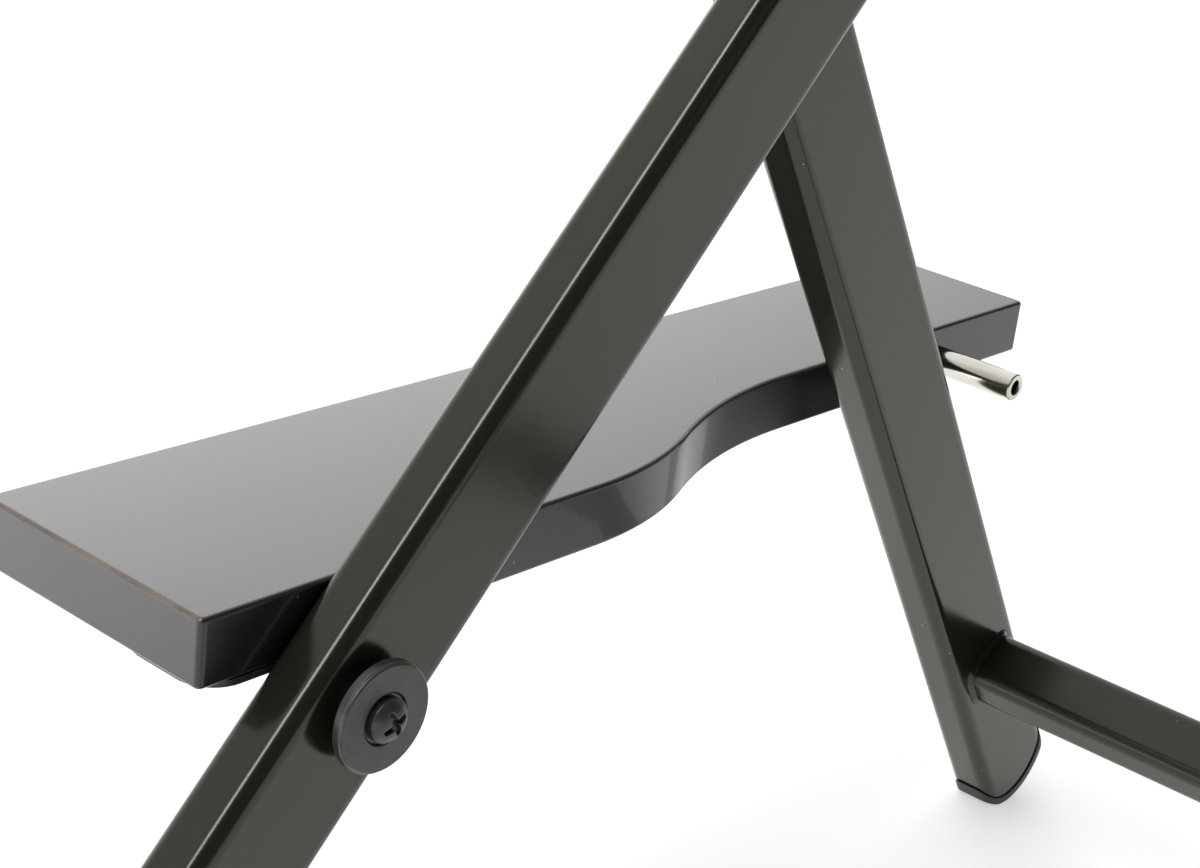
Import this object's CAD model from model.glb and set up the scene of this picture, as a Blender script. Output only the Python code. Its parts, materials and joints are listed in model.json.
import json
from math import atan2, cos, pi, radians, sin

import bpy
from mathutils import Matrix, Vector


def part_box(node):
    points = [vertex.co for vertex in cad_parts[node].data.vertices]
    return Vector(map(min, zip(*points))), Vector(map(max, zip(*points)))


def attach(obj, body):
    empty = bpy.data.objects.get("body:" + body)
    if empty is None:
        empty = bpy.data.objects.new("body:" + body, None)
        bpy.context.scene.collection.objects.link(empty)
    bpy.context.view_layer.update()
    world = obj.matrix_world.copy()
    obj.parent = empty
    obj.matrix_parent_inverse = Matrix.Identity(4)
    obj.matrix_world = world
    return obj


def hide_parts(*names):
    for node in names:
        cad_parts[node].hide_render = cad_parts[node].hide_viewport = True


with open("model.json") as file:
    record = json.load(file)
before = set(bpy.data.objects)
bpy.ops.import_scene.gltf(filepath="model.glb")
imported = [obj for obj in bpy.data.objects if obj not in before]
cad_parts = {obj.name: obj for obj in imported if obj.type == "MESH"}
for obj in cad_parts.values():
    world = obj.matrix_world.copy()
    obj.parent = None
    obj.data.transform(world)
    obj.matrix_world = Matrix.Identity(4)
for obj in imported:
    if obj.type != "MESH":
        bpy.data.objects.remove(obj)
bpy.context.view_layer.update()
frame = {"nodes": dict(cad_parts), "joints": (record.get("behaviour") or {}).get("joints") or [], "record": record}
nodes = frame["nodes"]
joints = {joint["name"]: joint for joint in frame["joints"]}
boardPivot = Vector(joints["board_left_swing"]["pos_m"])
legPivot = Vector(joints["rear_frame_fold"]["pos_m"])
sides = {"left": 1, "right": -1}  # the right half mirrors the left one
print("stage: frame loaded with", len(nodes), "CAD nodes")


# helpers for materials
def addNode(tree, kind, inputs=None, **settings):
    node = tree.nodes.new(kind)
    for key, value in settings.items():
        setattr(node, key, value)
    for key, value in (inputs or {}).items():
        if isinstance(value, bpy.types.NodeSocket):
            tree.links.new(value, node.inputs[key])
        else:
            node.inputs[key].default_value = value
    return node


def noiseOf(tree, coords, scale, detail=3.0, roughness=0.55):
    return addNode(tree, "ShaderNodeTexNoise", {
        "Vector": coords, "Scale": scale, "Detail": detail, "Roughness": roughness,
    }).outputs["Fac"]


def spread(tree, value, low, high, outLow=0.0, outHigh=1.0):
    return addNode(tree, "ShaderNodeMapRange", {
        "Value": value, "From Min": low, "From Max": high, "To Min": outLow, "To Max": outHigh,
    }).outputs["Result"]


def mixColour(tree, share, first, second):
    mix = addNode(tree, "ShaderNodeMix", data_type="RGBA")
    for key, value in ((0, share), (6, first), (7, second)):
        if isinstance(value, bpy.types.NodeSocket):
            tree.links.new(value, mix.inputs[key])
        elif key == 0:
            mix.inputs[key].default_value = value
        else:
            mix.inputs[key].default_value = (*value, 1.0)
    return mix.outputs[2]


def mathOf(tree, operation, first, second):
    return addNode(tree, "ShaderNodeMath", {0: first, 1: second}, operation=operation).outputs[0]


# What all finishes share: where wear begins and ends, and how much it dulls the gloss
finishRules = {
    "driftRange": (0.35, 0.65), "edgeAgreement": (0.995, 0.8), "wearRange": (0.62, 0.72),
    "handledRange": (0.3, 0.6), "handledLeast": 0.25, "wearDulls": 0.15, "glossRange": (0.3, 0.7),
    "sideFacing": (0.6, 0.3),
}


# One finish: two colours that drift into each other, uneven gloss, fine bump,
# specks of dust and an edge where the surface has rubbed thin
def makeFinish(name, look):
    material = bpy.data.materials.new(name)
    material.use_nodes = True
    tree = material.node_tree
    shader = tree.nodes["Principled BSDF"]
    shader.inputs["Metallic"].default_value = look["metallic"]
    shader.inputs["IOR"].default_value = look["ior"]
    shader.inputs["Coat Weight"].default_value = look["coat"]
    shader.inputs["Coat Roughness"].default_value = look["coatRoughness"]
    shader.inputs["Specular Tint"].default_value = (*look["tint"], 1.0)
    coords = addNode(tree, "ShaderNodeTexCoord").outputs["Object"]
    if look["stretch"] != (1, 1, 1):
        coords = addNode(tree, "ShaderNodeMapping", {"Vector": coords, "Scale": look["stretch"]}).outputs[0]
    drift = spread(tree, noiseOf(tree, coords, look["driftScale"]), *finishRules["driftRange"])
    colour = mixColour(tree, drift, look["colour"], look["driftColour"])

    # edge wear, from how far a slightly rounded normal turns away from the true one
    rounded = addNode(tree, "ShaderNodeBevel", {"Radius": look["edgeRound"]}, samples=6).outputs[0]
    trueNormal = addNode(tree, "ShaderNodeNewGeometry").outputs["Normal"]
    agreement = addNode(tree, "ShaderNodeVectorMath", {0: rounded, 1: trueNormal}, operation="DOT_PRODUCT")
    edge = spread(tree, agreement.outputs["Value"], *finishRules["edgeAgreement"])
    wearNoise = noiseOf(tree, coords, look["wearScale"], 5.0, 0.7)
    wearStart, wearFull = finishRules["wearRange"]
    worn = mathOf(tree, "MULTIPLY", edge, spread(tree, wearNoise, wearStart - look["wear"], wearFull))
    handled = addNode(tree, "ShaderNodeAttribute", attribute_name="handled_edge").outputs["Fac"]
    patches = spread(tree, wearNoise, *finishRules["handledRange"], finishRules["handledLeast"])
    worn = mathOf(tree, "MAXIMUM", worn, mathOf(tree, "MULTIPLY", handled, patches))
    colour = mixColour(tree, worn, colour, look["wearColour"])

    # dust specks sit in a few of the cells
    cells = addNode(tree, "ShaderNodeTexVoronoi", {"Vector": coords, "Scale": look["speckScale"]})
    inSpeck = mathOf(tree, "LESS_THAN", cells.outputs["Distance"], look["speckSize"])
    pick = addNode(tree, "ShaderNodeSeparateColor", {0: cells.outputs["Color"]}).outputs[0]
    dusty = mathOf(tree, "MULTIPLY", inSpeck, mathOf(tree, "LESS_THAN", pick, look["speckShare"]))
    colour = mixColour(tree, dusty, colour, look["speckColour"])
    tree.links.new(colour, shader.inputs["Base Color"])

    glossNoise = noiseOf(tree, coords, look["glossScale"])
    gloss = spread(tree, glossNoise, *finishRules["glossRange"], *look["roughness"])
    gloss = mathOf(tree, "ADD", gloss, mathOf(tree, "MULTIPLY", worn, finishRules["wearDulls"]))
    if look["sideSoftness"]:  # cut sides take the lacquer less evenly than the flat faces
        upward = addNode(tree, "ShaderNodeSeparateXYZ", {0: trueNormal}).outputs[2]
        facing = addNode(tree, "ShaderNodeMath", {0: upward}, operation="ABSOLUTE").outputs[0]
        softer = spread(tree, facing, *finishRules["sideFacing"], 0.0, look["sideSoftness"])
        gloss = mathOf(tree, "ADD", gloss, softer)
    tree.links.new(gloss, shader.inputs["Roughness"])

    grain = noiseOf(tree, coords, look["bumpScale"], 4.0, 0.6)
    bump = addNode(tree, "ShaderNodeBump", {
        "Height": grain, "Normal": rounded,
        "Strength": look["bumpStrength"], "Distance": look["bumpHeight"],
    }).outputs[0]
    tree.links.new(bump, shader.inputs["Normal"])
    return material


plainLook = {
    "colour": (0.02, 0.02, 0.02), "driftColour": (0.026, 0.026, 0.024), "driftScale": 9.0,
    "metallic": 0.0, "ior": 1.5, "coat": 0.0, "coatRoughness": 0.1, "tint": (1.0, 1.0, 1.0),
    "stretch": (1, 1, 1), "roughness": (0.3, 0.4), "sideSoftness": 0.0, "glossScale": 30.0,
    "bumpScale": 900.0, "bumpStrength": 0.15, "bumpHeight": 0.0002,
    "edgeRound": 0.0005, "wear": 0.05, "wearScale": 60.0, "wearColour": (0.16, 0.15, 0.14),
    "speckScale": 160.0, "speckSize": 0.03, "speckShare": 0.1, "speckColour": (0.5, 0.5, 0.48),
}

# The tubes: satin enamel with a faint olive tint
blackEnamel = {**plainLook, **{
    "colour": (0.0125, 0.0124, 0.0085), "driftColour": (0.0165, 0.0162, 0.0122), "driftScale": 7.0,
    "tint": (1.0, 0.995, 0.87),
    "roughness": (0.15, 0.21), "bumpScale": 700.0, "bumpStrength": 0.06, "wear": 0.02,
    "speckScale": 170.0, "speckSize": 0.035, "speckShare": 0.16, "speckColour": (0.55, 0.55, 0.5),
}}
# The boards and the album rest: gloss lacquer with a soft film of dust
blackLacquer = {**plainLook, **{
    "colour": (0.008, 0.008, 0.009), "driftColour": (0.016, 0.0155, 0.017), "driftScale": 26.0,
    "coat": 0.25, "coatRoughness": 0.04, "tint": (0.97, 0.975, 1.0),
    "roughness": (0.1, 0.16), "bumpScale": 260.0, "bumpStrength": 0.05, "edgeRound": 0.0008,
    "wear": 0.14, "wearScale": 45.0, "wearColour": (0.25, 0.2, 0.14),
    "speckShare": 0.08, "sideSoftness": 0.16,
}}
# The end caps and spacers: moulded plastic
blackPlastic = {**plainLook, **{
    "colour": (0.014, 0.014, 0.014), "driftColour": (0.021, 0.021, 0.021),
    "roughness": (0.38, 0.5), "bumpScale": 1500.0, "bumpStrength": 0.25, "wearColour": (0.07, 0.07, 0.07),
}}
# Washers, screws, nuts and brackets: blackened steel, brushed a little
blackenedSteel = {**plainLook, **{
    "colour": (0.052, 0.052, 0.049), "driftColour": (0.072, 0.071, 0.067), "driftScale": 60.0,
    "metallic": 0.5, "roughness": (0.28, 0.42), "glossScale": 400.0, "bumpScale": 2200.0, "bumpStrength": 0.2,
    "edgeRound": 0.00035, "wear": 0.3, "wearScale": 260.0, "wearColour": (0.42, 0.41, 0.37),
}}
# The hook pins: bright plating
platedPin = {**plainLook, **{
    "colour": (0.66, 0.655, 0.62), "driftColour": (0.56, 0.54, 0.46), "driftScale": 120.0,
    "metallic": 1.0,
    "roughness": (0.1, 0.2), "stretch": (0.3, 1, 1), "bumpScale": 900.0, "bumpStrength": 0.06,
    "wearColour": (0.5, 0.45, 0.36), "speckColour": (0.25, 0.22, 0.18), "speckShare": 0.1,
}}
# The bushes in the tubes: turned steel
bushSteel = {**plainLook, **{
    "colour": (0.42, 0.42, 0.41), "driftColour": (0.34, 0.33, 0.32), "metallic": 1.0,
    "roughness": (0.25, 0.38), "stretch": (6, 1, 1), "wearColour": (0.6, 0.6, 0.58),
}}
# The slip washers: natural nylon
slipNylon = {**plainLook, **{
    "colour": (0.72, 0.72, 0.67), "driftColour": (0.64, 0.63, 0.56), "roughness": (0.4, 0.52),
    "wearColour": (0.5, 0.48, 0.42), "speckColour": (0.2, 0.2, 0.18),
}}
looks = {
    "black_enamel": blackEnamel, "black_lacquer": blackLacquer, "black_plastic": blackPlastic,
    "blackened_steel": blackenedSteel, "plated_pin": platedPin, "bush_steel": bushSteel,
    "slip_nylon": slipNylon,
}
finishes = {slot: makeFinish(slot, look) for slot, look in looks.items()}
for part in frame["record"]["subparts"]:
    mesh = nodes[part["node"]].data
    mesh.materials.clear()
    mesh.materials.append(finishes[part["material_slot"]])
print("stage: finishes made and laid on the CAD nodes")


# helpers for pieces
def addPiece(name, vertices, faces, body, slot, stands,
             normals=None, sharp=40.0, mirrored=False, handled=None):
    if mirrored:
        faces = [tuple(reversed(face)) for face in faces]
    mesh = bpy.data.meshes.new(name)
    mesh.from_pydata([tuple(v) for v in vertices], [], faces)
    mesh.polygons.foreach_set("use_smooth", [True] * len(faces))
    if normals:
        mesh.normals_split_custom_set_from_vertices([tuple(n) for n in normals])
    else:
        mesh.set_sharp_from_angle(angle=radians(sharp))
    mesh.materials.append(finishes[slot])
    if handled:
        mesh.attributes.new("handled_edge", "FLOAT", "POINT").data.foreach_set("value", handled)
    piece = bpy.data.objects.new(name, mesh)
    bpy.context.scene.collection.objects.link(piece)
    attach(piece, body)
    if stands:
        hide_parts(*stands)
    return piece


# The faces between two rings of points, given where each ring starts
def band(first, second, count):
    faces = []
    for i in range(count):
        j = (i + 1) % count
        faces.append((first + i, first + j, second + j, second + i))
    return faces


def arc(centreX, centreY, radius, start, end, steps=5):
    turns = [start + (end - start) * i / steps for i in range(steps + 1)]
    return [(centreX + radius * cos(a), centreY + radius * sin(a), cos(a), sin(a)) for a in turns]


# How much of an edge has been handled: most at the front end, little elsewhere
handling = {"front": 0.75, "elsewhere": 0.12, "frontFacing": -0.6}


# A flat piece with softened edges, whose outline points carry their outward direction
def roundedSlab(outline, low, high, edge, steps=5):
    rings = [(low + edge - edge * sin(a), edge * (1 - cos(a)), -sin(a), cos(a))
             for a in [pi / 2 * (1 - i / steps) for i in range(steps + 1)]]
    rings += [(high - edge + edge * sin(a), edge * (1 - cos(a)), sin(a), cos(a))
              for a in [pi / 2 * i / steps for i in range(steps + 1)]]
    vertices, normals, handled, faces = [], [], [], []
    count = len(outline)
    for height, inset, up, out in rings:
        for x, y, dx, dy in outline:
            vertices.append(Vector((x - dx * inset, y - dy * inset, height)))
            normals.append(Vector((dx * out, dy * out, up)))
            share = handling["front"] if dy < handling["frontFacing"] else handling["elsewhere"]
            handled.append(2 * abs(up * out) * share)
    for ring in range(len(rings) - 1):
        faces += band(ring * count, (ring + 1) * count, count)
    faces.append(tuple(reversed(range(count))))
    faces.append(tuple(range((len(rings) - 1) * count, len(rings) * count)))
    return vertices, normals, handled, faces


# A piece turned about x: profile points are (place along x, radius), and a closed one has a hole
def turned(profile, centre, closed, segments=72):
    vertices, faces = [], []
    for along, radius in profile:
        for i in range(segments):
            a = 2 * pi * i / segments
            vertices.append(Vector((along, centre[1] + radius * cos(a), centre[2] + radius * sin(a))))
    last = len(profile) if closed else len(profile) - 1
    for p in range(last):
        faces += band(p * segments, (p + 1) % len(profile) * segments, segments)
    if not closed:
        faces.append(tuple(reversed(range(segments))))
        faces.append(tuple(range((len(profile) - 1) * segments, len(profile) * segments)))
    return vertices, faces


def mirroredX(points, side):
    return [Vector((p[0] * side, p[1], p[2])) for p in points]


# side boards
sideBoard = {
    "edgeRound": 0.0010, "cornerRound": 0.0016, "stepSteps": 24,
    "stepFrom": 0.088, "stepLength": 0.100, "stepDepth": 0.022, "firstArc": 0.43,
}


def boardOutline(low, high):
    corner, depth, length = sideBoard["cornerRound"], sideBoard["stepDepth"], sideBoard["stepLength"]
    turn = 2 * atan2(depth, length)
    total = length / sin(turn)
    first = total * sideBoard["firstArc"]
    second = total - first
    start = boardPivot.y + sideBoard["stepFrom"]
    end = start + length
    inner, narrow = high.x, high.x - depth
    outline = arc(inner - corner, low.y + corner, corner, -pi / 2, 0)
    outline += arc(inner - first, start, first, 0, turn, sideBoard["stepSteps"])
    outline += arc(narrow + second, end, -second, turn, 0, sideBoard["stepSteps"])[1:]
    outline += arc(narrow - corner, high.y - corner, corner, 0, pi / 2)
    outline += arc(low.x + corner, high.y - corner, corner, pi / 2, pi)
    outline += arc(low.x + corner, low.y + corner, corner, pi, 1.5 * pi)
    return outline


for name, side in sides.items():
    low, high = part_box("side_board_left")
    outline = boardOutline(low, high)
    vertices, normals, handled, faces = roundedSlab(outline, low.z, high.z, sideBoard["edgeRound"])
    addPiece(f"lacquered_board_{name}", mirroredX(vertices, side), faces, f"board_{name}", "black_lacquer",
             [f"side_board_{name}"], mirroredX(normals, side), mirrored=side < 0, handled=handled)
print("stage: side boards")

# hook pins
hookPin = {"bore": 0.0021, "boreDepth": 0.014, "chamfer": 0.0003}
for name, side in sides.items():
    low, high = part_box("hook_pin_left")
    radius, chamfer, bore = (high.z - low.z) / 2, hookPin["chamfer"], hookPin["bore"]
    floor = high.x - hookPin["boreDepth"]
    profile = [(low.x, radius), (high.x - chamfer, radius), (high.x, radius - chamfer),
               (high.x, bore + chamfer), (high.x - chamfer, bore), (floor, bore)]
    vertices, faces = turned(profile, (low + high) / 2, False)
    addPiece(f"plated_hook_pin_{name}", mirroredX(vertices, side), faces, f"board_{name}", "plated_pin",
             [f"hook_pin_{name}"], sharp=30, mirrored=side < 0)
print("stage: hook pins")

# pivot washers and the spacers under them
pivotWasher = {"hole": 0.00258, "recess": 0.0058, "recessDepth": 0.0008, "recessEdge": 0.0003,
               "recessTaper": 0.0002, "rimStep": 0.0007}
pivotSpacer = {"hole": 0.00258, "edgeRound": 0.0006}
for name, side in sides.items():
    low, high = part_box("pivot_washer_left")
    radius, step, hole = (high.z - low.z) / 2, pivotWasher["rimStep"], pivotWasher["hole"]
    recess, seat = pivotWasher["recess"], high.x - pivotWasher["recessDepth"]
    bevel = pivotWasher["recessEdge"]
    profile = [(low.x, hole), (low.x, radius - step / 2), (low.x + step / 2, radius),
               (high.x - step, radius), (high.x - step * 0.9, radius - step / 3),
               (high.x - step / 3, radius - step / 2), (high.x, radius - step),
               (high.x, recess + bevel), (high.x - bevel, recess),
               (seat, recess - pivotWasher["recessTaper"]), (seat, hole)]
    vertices, faces = turned(profile, (low + high) / 2, True, 96)
    addPiece(f"stepped_washer_{name}", mirroredX(vertices, side), faces, "front_frame", "blackened_steel",
             [f"pivot_washer_{name}"], sharp=25, mirrored=side < 0)
    low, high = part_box("pivot_spacer_left")
    radius, step, hole = (high.z - low.z) / 2, pivotSpacer["edgeRound"], pivotSpacer["hole"]
    near = step * 0.3  # where the rounded edge turns
    profile = [(low.x, hole), (low.x, radius - step), (low.x + near, radius - near), (low.x + step, radius),
               (high.x - step, radius), (high.x - near, radius - near), (high.x, radius - step),
               (high.x, hole)]
    vertices, faces = turned(profile, (low + high) / 2, True, 96)
    addPiece(f"moulded_spacer_{name}", mirroredX(vertices, side), faces, "front_frame", "black_plastic",
             [f"pivot_spacer_{name}"], sharp=50, mirrored=side < 0)
print("stage: pivot washers and spacers")

# pivot screws: a pan head with a tapered cross, and a threaded end
panScrew = {
    "headHeight": 0.0042, "headEdge": 0.0020, "shank": 0.0025,
    "crossDepth": 0.0024, "crossLength": 0.0032, "crossWidth": 0.0020, "crossNarrowing": 0.35,
    "crossShallowing": 0.6, "crossSideSlope": 0.0003, "crossEndSlope": 0.0004,
    "threadLength": 0.009, "pitch": 0.0008, "threadDepth": 0.0002, "tipTaper": 0.0004, "tipDrop": 0.0005,
    "rodOverlap": 0.0001, "boardTurn": radians(28), "legTurn": radians(50),
}


# How deep the cross is cut at a place on the head
def crossDepth(along, across):
    look = panScrew
    if along > look["crossLength"]:
        return 0.0
    reach = along / look["crossLength"]
    width = look["crossWidth"] / 2 * (1 - look["crossNarrowing"] * reach)
    side = min(1.0, max(0.0, (width - across) / look["crossSideSlope"]))
    end = min(1.0, (look["crossLength"] - along) / look["crossEndSlope"])
    return look["crossDepth"] * side * end * (1 - look["crossShallowing"] * reach)


def screwHead(top, centre, radius, turn, rings=44, segments=120):
    rise = panScrew["headHeight"] - panScrew["headEdge"]
    vertices = [Vector((top - panScrew["crossDepth"], centre.y, centre.z))]
    for k in range(1, rings + 1):
        away = radius * k / rings
        for i in range(segments):
            a = 2 * pi * i / segments
            u, v = abs(away * cos(a)), abs(away * sin(a))
            height = top - rise * (away / radius) ** 3 - crossDepth(max(u, v), min(u, v))
            y, z = centre.y + away * cos(a + turn), centre.z + away * sin(a + turn)
            vertices.append(Vector((height, y, z)))
    under = len(vertices)
    vertices += [Vector((top - panScrew["headHeight"], p.y, p.z)) for p in vertices[-segments:]]
    faces = [(0, 1 + i, 1 + (i + 1) % segments) for i in range(segments)]
    for k in range(rings):  # the last band is the side of the head
        around = band(1 + k * segments, 1 + (k + 1) * segments, segments)
        faces += [tuple(reversed(face)) for face in around]
    faces.append(tuple(reversed(range(under, under + segments))))
    return vertices, faces


def screwRod(headTop, tip, centre):
    shank, depth, pitch = panScrew["shank"], panScrew["threadDepth"], panScrew["pitch"]
    profile = [(headTop - panScrew["headHeight"] + panScrew["rodOverlap"], shank)]
    threadStart = tip + panScrew["threadLength"]
    for k in range(int(panScrew["threadLength"] / pitch)):
        crest = threadStart - k * pitch
        profile += [(crest, shank), (crest - pitch / 2, shank - depth)]
    profile += [(tip + panScrew["tipTaper"], shank), (tip, shank - panScrew["tipDrop"])]
    vertices, faces = turned(profile, centre, False, 48)
    return vertices, [tuple(reversed(face)) for face in faces]


def addScrew(name, node, hand, side, turn):
    low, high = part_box(node + "_left")
    centre, radius = (low + high) / 2, (high.z - low.z) / 2
    head, faces = screwHead(high.x, centre, radius, turn)
    rod, rodFaces = screwRod(high.x, low.x, centre)
    faces += [tuple(i + len(head) for i in face) for face in rodFaces]
    addPiece(f"{name}_{hand}", mirroredX(head + rod, side), faces, "front_frame", "blackened_steel",
             [f"{node}_{hand}"], sharp=35, mirrored=side < 0)


for name, side in sides.items():
    addScrew("board_pan_screw", "pivot_screw", name, side, panScrew["boardTurn"])
    addScrew("leg_pan_screw", "leg_screw", name, side, panScrew["legTurn"])
print("stage: pivot screws")

# weld beads round the crossbar ends
weldBead = {
    "width": 0.0016, "cornerSteps": 8,
    # the bead's section as shares of its width: (along the bar, out from the bar)
    "section": ((0.0, 1.0), (0.1, 0.62), (0.3, 0.3), (0.62, 0.1), (1.0, 0.0), (0.0, -0.2)),
}
barTube = {"deep": 0.020, "high": 0.015, "corner": 0.004}
rearFoot = {"radius": 0.0195}


def barOutline():
    corner, steps = barTube["corner"], weldBead["cornerSteps"]
    deep, tall = barTube["deep"] / 2 - corner, barTube["high"] / 2 - corner
    outline = []
    for quarter, (y, z) in enumerate(((deep, tall), (-deep, tall), (-deep, -tall), (deep, -tall))):
        outline += arc(y, z, corner, quarter * pi / 2, (quarter + 1) * pi / 2, steps)
    return outline


def addWeld(name, node, body, wall, side, lean):
    low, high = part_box(node)
    middle = (low + high) / 2
    outline, section, width = barOutline(), weldBead["section"], weldBead["width"]
    vertices, faces = [], []
    for y, z, dy, dz in outline:
        for along, out in section:
            py, pz = y + dy * out * width, z + dz * out * width
            leanY = middle.y + py * cos(lean) + pz * sin(lean)
            leanZ = middle.z - py * sin(lean) + pz * cos(lean)
            vertices.append(Vector(((wall + along * width) * side, leanY, leanZ)))
    count = len(section)
    for k in range(len(outline)):
        faces += band(k * count, (k + 1) % len(outline) * count, count)
    addPiece(name, vertices, faces, body, "black_enamel", [], sharp=70, mirrored=side > 0)


railLean = atan2(legPivot.y - boardPivot.y, legPivot.z - boardPivot.z)
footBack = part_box("rear_foot_cap_left")[1].y
legLean = -atan2(footBack - rearFoot["radius"] - legPivot.y, legPivot.z - rearFoot["radius"])
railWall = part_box("front_foot_bar")[0].x
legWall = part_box("rear_foot_bar")[0].x
for name, side in sides.items():
    for bar in ("front_foot_bar", "front_ledge_bar", "front_top_bar"):
        addWeld(f"{bar}_weld_{name}", bar, "front_frame", railWall, side, railLean)
    addWeld(f"rear_foot_bar_weld_{name}", "rear_foot_bar", "rear_frame", legWall, side, legLean)
print("stage: weld beads")

# studio floor, which glows more in front on the left
studioFloor = {
    "size": 24.0, "colour": (0.86, 0.86, 0.855), "patchColour": (0.84, 0.84, 0.835), "patchScale": 2.0,
    "roughness": 0.8, "glow": 0.5, "frontGlow": 1.6, "glowLeft": (-0.2, -0.5), "glowFront": (-0.15, -0.45),
}
half = studioFloor["size"] / 2
floorCorners = [(-half, -half, 0), (half, -half, 0), (half, half, 0), (-half, half, 0)]
floorMesh = bpy.data.meshes.new("studio_floor")
floorMesh.from_pydata(floorCorners, [], [(0, 1, 2, 3)])
floorPaint = bpy.data.materials.new("floor_paint")
floorPaint.use_nodes = True
floorTree = floorPaint.node_tree
floorShader = floorTree.nodes["Principled BSDF"]
floorShader.inputs["Roughness"].default_value = studioFloor["roughness"]
floorShader.inputs["Emission Color"].default_value = (1.0, 1.0, 1.0, 1.0)
floorCoords = addNode(floorTree, "ShaderNodeTexCoord").outputs["Object"]
floorNoise = noiseOf(floorTree, floorCoords, studioFloor["patchScale"])
floorShade = mixColour(floorTree, floorNoise, studioFloor["colour"], studioFloor["patchColour"])
floorTree.links.new(floorShade, floorShader.inputs["Base Color"])
floorPlace = addNode(floorTree, "ShaderNodeSeparateXYZ", {0: floorCoords})
glowLeft = spread(floorTree, floorPlace.outputs[0], *studioFloor["glowLeft"])
glowFront = spread(floorTree, floorPlace.outputs[1], *studioFloor["glowFront"])
glowShare = mathOf(floorTree, "MULTIPLY", glowLeft, glowFront)
fullGlow = studioFloor["glow"] + studioFloor["frontGlow"]
floorGlow = spread(floorTree, glowShare, 0.0, 1.0, studioFloor["glow"], fullGlow)
floorTree.links.new(floorGlow, floorShader.inputs["Emission Strength"])
floorMesh.materials.append(floorPaint)
floorPiece = bpy.data.objects.new("studio_floor", floorMesh)
bpy.context.scene.collection.objects.link(floorPiece)

# a tall soft panel in front
keyPanel = {"place": (-0.29, -1.37, 1.96), "aim": (-0.17, 0.0, 0.2), "size": (0.42, 1.5), "bright": 12.0}
keyLight = bpy.data.lights.new("key_panel", "AREA")
keyLight.shape = "RECTANGLE"
keyLight.size, keyLight.size_y = keyPanel["size"]
keyLight.energy = keyPanel["bright"] * pi * keyLight.size * keyLight.size_y
keyLamp = bpy.data.objects.new("key_panel", keyLight)
bpy.context.scene.collection.objects.link(keyLamp)
keyLamp.location = keyPanel["place"]
keyLamp.rotation_euler = (Vector(keyPanel["aim"]) - keyLamp.location).to_track_quat("-Z", "Y").to_euler()

# the sky is bright over the left and back, dimmer in front and dark on the right
studioSky = {
    "tint": (1.0, 0.998, 0.985), "dark": 0.07, "bright": 1.1, "front": 0.6, "backLeft": 1.55,
    "darkToBright": (0.25, -0.15), "frontToBack": (-0.75, -0.2),
    "cornerLeft": (-0.45, -0.74), "cornerBack": (0.1, 0.5), "backdrop": 1.0,
}
world = bpy.data.worlds.new("studio_sky")
bpy.context.scene.world = world
world.use_nodes = True
skyTree = world.node_tree
direction = addNode(skyTree, "ShaderNodeTexCoord").outputs["Generated"]
heading = addNode(skyTree, "ShaderNodeSeparateXYZ", {0: direction})
sideways, backward = heading.outputs[0], heading.outputs[1]
leftward = spread(skyTree, sideways, *studioSky["darkToBright"], studioSky["dark"], studioSky["bright"])
dimming = spread(skyTree, backward, *studioSky["frontToBack"], studioSky["front"], 1.0)
cornerLeft = spread(skyTree, sideways, *studioSky["cornerLeft"])
cornerBack = spread(skyTree, backward, *studioSky["cornerBack"])
backLeft = mathOf(skyTree, "MULTIPLY", cornerLeft, cornerBack)
extra = mathOf(skyTree, "MULTIPLY", backLeft, studioSky["backLeft"])
skyLight = mathOf(skyTree, "ADD", mathOf(skyTree, "MULTIPLY", leftward, dimming), extra)
# the backdrop itself is pale all round
seen = addNode(skyTree, "ShaderNodeLightPath").outputs["Is Camera Ray"]
sky = skyTree.nodes["Background"]
sky.inputs["Color"].default_value = (*studioSky["tint"], 1.0)
skyTree.links.new(spread(skyTree, seen, 0.0, 1.0, skyLight, studioSky["backdrop"]), sky.inputs["Strength"])
print("stage: studio")

# camera
cameraView = {
    "place": (0.134148, -0.400858, 0.379174), "lens": 69.969, "sensorWidth": 36.0, "clipStart": 0.01,
    "right": (0.742064, 0.661276, 0.109801), "up": (-0.321292, 0.207111, 0.924054),
    "back": (0.588313, -0.720985, 0.366152),
}
cameraData = bpy.data.cameras.new("camera")
cameraData.lens = cameraView["lens"]
cameraData.sensor_width = cameraView["sensorWidth"]
cameraData.clip_start = cameraView["clipStart"]
camera = bpy.data.objects.new("camera", cameraData)
bpy.context.scene.collection.objects.link(camera)
cameraTurn = Matrix((cameraView["right"], cameraView["up"], cameraView["back"])).transposed()
camera.matrix_world = Matrix.Translation(cameraView["place"]) @ cameraTurn.to_4x4()
bpy.context.scene.camera = camera
bpy.context.scene.view_settings.view_transform = "Standard"
print("stage: camera")
